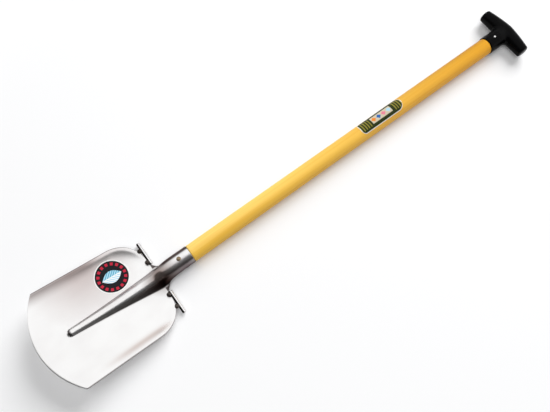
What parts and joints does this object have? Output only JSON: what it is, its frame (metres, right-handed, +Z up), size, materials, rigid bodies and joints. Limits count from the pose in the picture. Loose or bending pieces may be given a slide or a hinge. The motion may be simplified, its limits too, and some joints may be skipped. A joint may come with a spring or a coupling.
{
  "type": "spade",
  "caption": "Digging spade with a dished, round-edged steel blade, tapering rib and rolled socket, rod foot treads, straight wooden shaft and T grip.",
  "frame": {"origin": "on the floor under the middle of the spade's bounding box, as it lies on its back", "axes": "+Y along the shaft towards the grip, +Z up out of the blade's front, +X to the blade's right"},
  "size_m": [0.209, 1.1828, 0.0612],
  "materials": {
    "blade_steel": "satin polished",
    "tread_steel": "bright drawn rod",
    "weld_metal": "polished weld",
    "shaft_wood": "clear yellow lacquer",
    "rivet_steel": "plain",
    "grip_plastic": "satin",
    "pin_metal": "plain",
    "blade_film": "printed film",
    "shaft_film": "printed film"
  },
  "bodies": {
    "root": {"blade": "blade_steel", "left_tread": "tread_steel", "right_tread": "tread_steel", "tread_welds": "weld_metal", "shaft": "shaft_wood", "socket_rivet": "rivet_steel", "grip": "grip_plastic", "grip_pin": "pin_metal", "blade_label": "blade_film", "shaft_label": "shaft_film"}
  },
  "joints": []
}
